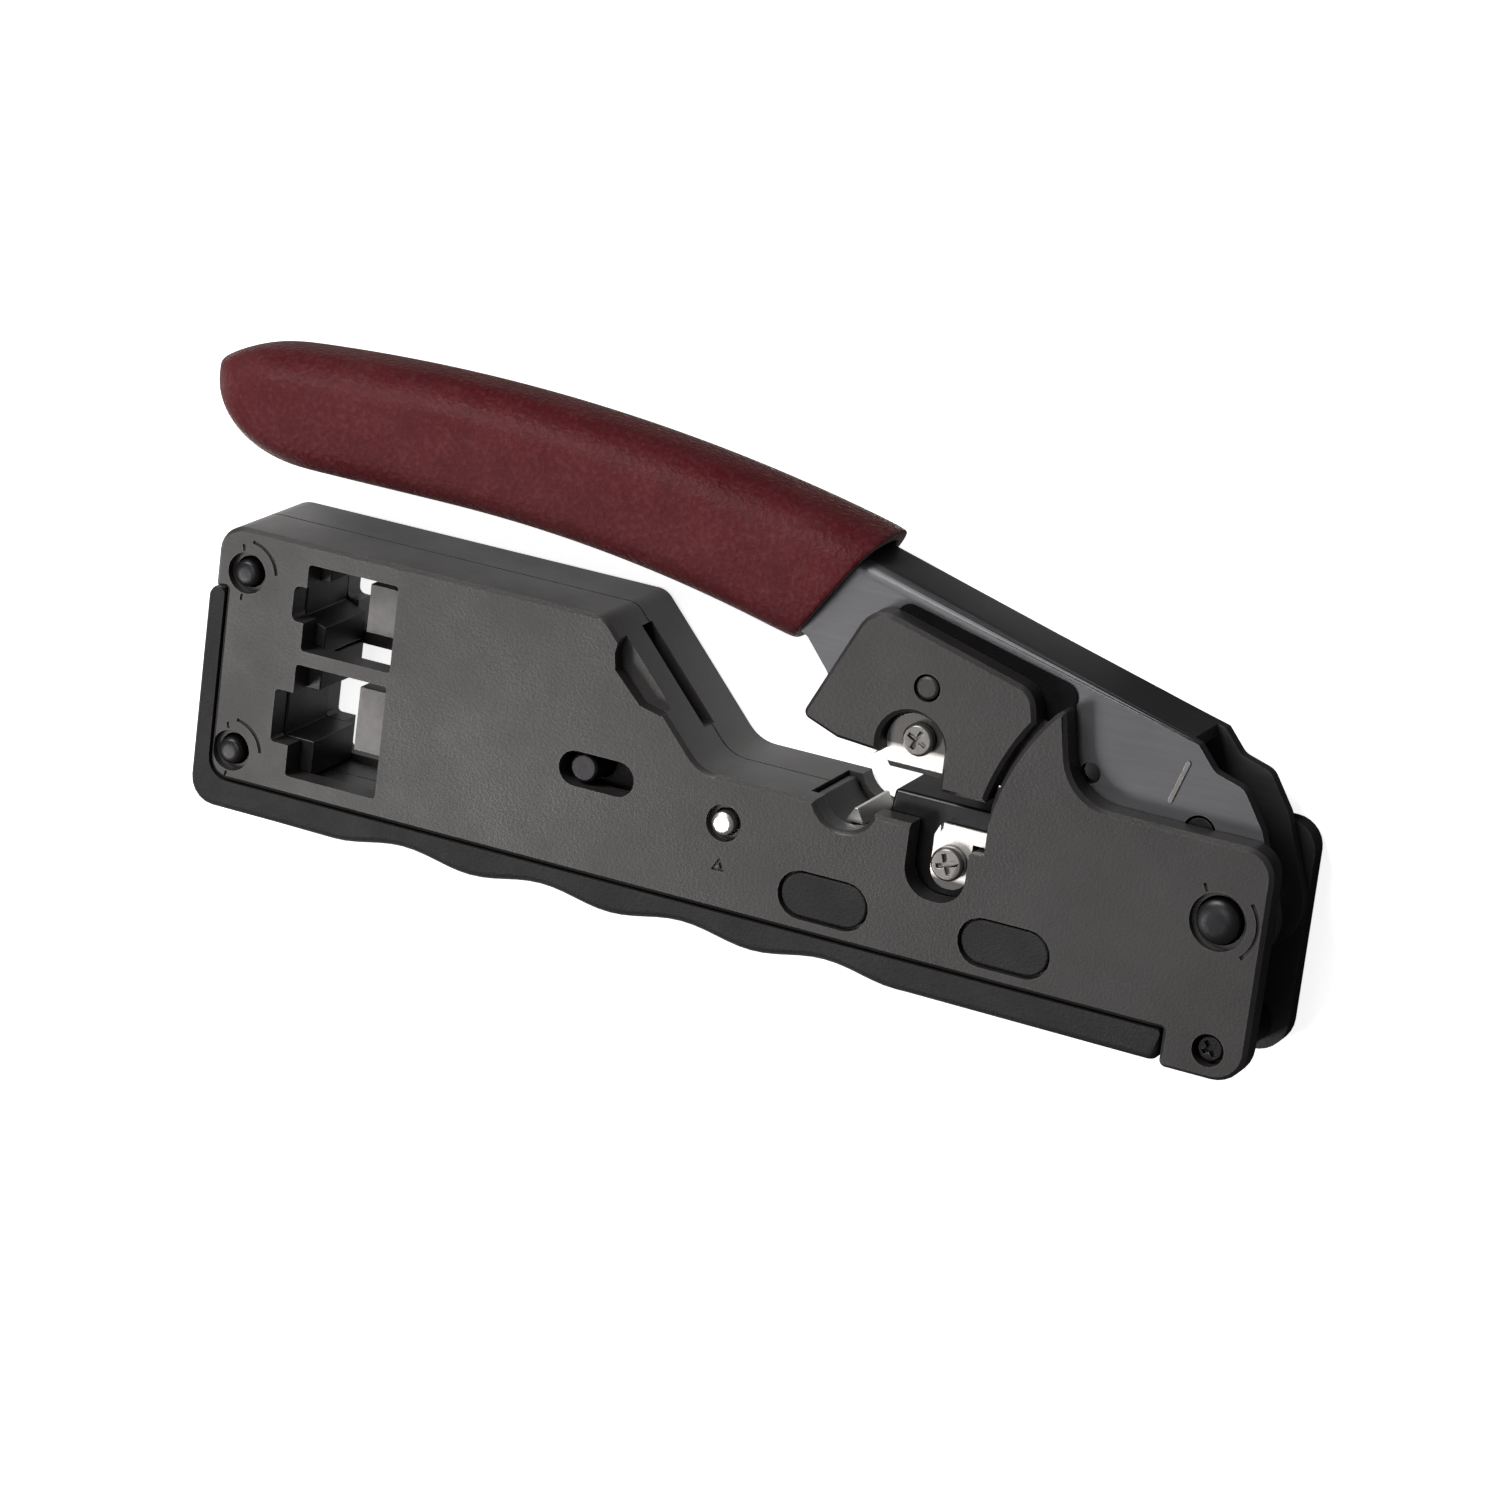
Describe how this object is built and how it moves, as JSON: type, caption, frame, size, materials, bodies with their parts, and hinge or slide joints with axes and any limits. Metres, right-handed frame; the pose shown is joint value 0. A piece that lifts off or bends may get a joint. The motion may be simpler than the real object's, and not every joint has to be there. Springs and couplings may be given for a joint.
{
  "type": "crimping tool",
  "caption": "Compact clamshell crimping tool for modular plugs, with a hinged handle, plug dies, pressers on a ram, cutting and stripping jaws and a lock pin.",
  "frame": {"origin": "on the flat rear face, a little right of the middle of the body's length, between the guide slot and the stripping notch", "axes": "+X along the body from the die end to the lever's pivot, +Y from the body's grip towards the handle, +Z from the rear face to the front face"},
  "size_m": [0.1465, 0.0597, 0.0181],
  "materials": {
    "shell_dark_grey": "satin",
    "grip_black": "matte",
    "grip_burgundy": "matte",
    "lever_gunmetal": "satin",
    "bright_steel": "polished",
    "dark_steel": "satin",
    "die_steel": "satin"
  },
  "bodies": {
    "body": {"front_shell": "shell_dark_grey", "rear_shell": "shell_dark_grey", "lower_grip": "grip_black", "inlay_front_1": "grip_black", "inlay_front_2": "grip_black", "inlay_rear_1": "grip_black", "inlay_rear_2": "grip_black", "die_block_8p": "die_steel", "die_block_6p": "die_steel", "lower_jaw_block": "die_steel", "strip_blade_lower": "bright_steel", "lower_blade": "bright_steel", "lower_blade_screw": "bright_steel", "rivet_top": "dark_steel", "rivet_bottom": "dark_steel", "pivot_pin": "dark_steel", "corner_screw": "dark_steel", "corner_spacer": "dark_steel"},
    "lever": {"lever_channel": "lever_gunmetal", "lever_grip": "grip_burgundy", "front_jaw_cover": "shell_dark_grey", "rear_jaw_cover": "shell_dark_grey", "jaw_rivet": "dark_steel", "upper_jaw_block": "die_steel", "strip_blade_upper": "bright_steel", "upper_blade": "bright_steel", "upper_blade_screw": "bright_steel", "lever_link_pin": "bright_steel"},
    "ram": {"ram": "die_steel", "presser_8p": "bright_steel", "presser_6p": "bright_steel", "guide_pin": "dark_steel", "ram_link_pin": "bright_steel"},
    "link": {"toggle_link": "die_steel"},
    "lock": {"lock_pin": "bright_steel"}
  },
  "joints": [
    {"name": "lever_pivot", "type": "hinge", "parent": "body", "child": "lever", "pos_m": [0.064, 0.0097, 0.00875], "axis": [0, 0, 1], "range_deg": [-24, 2.6]},
    {"name": "ram_slide", "type": "slide", "parent": "body", "child": "ram", "axis": [-1, 0, 0], "range_m": [-0.0049, 0.00055]},
    {"name": "link_pivot", "type": "hinge", "parent": "lever", "child": "link", "pos_m": [0.059, 0.0185, 0.00875], "axis": [0, 0, 1], "range_deg": [-3.3, 28.6]},
    {"name": "lock_push", "type": "slide", "parent": "body", "child": "lock", "axis": [0, 0, -1], "range_m": [0, 0.0016], "stiffness_N_per_m": 200}
  ],
  "couplings": [
    {"joint": "ram_slide", "follows": "lever_pivot", "m_per_rad": 0.011574},
    {"joint": "link_pivot", "follows": "lever_pivot", "ratio": -1.18}
  ]
}
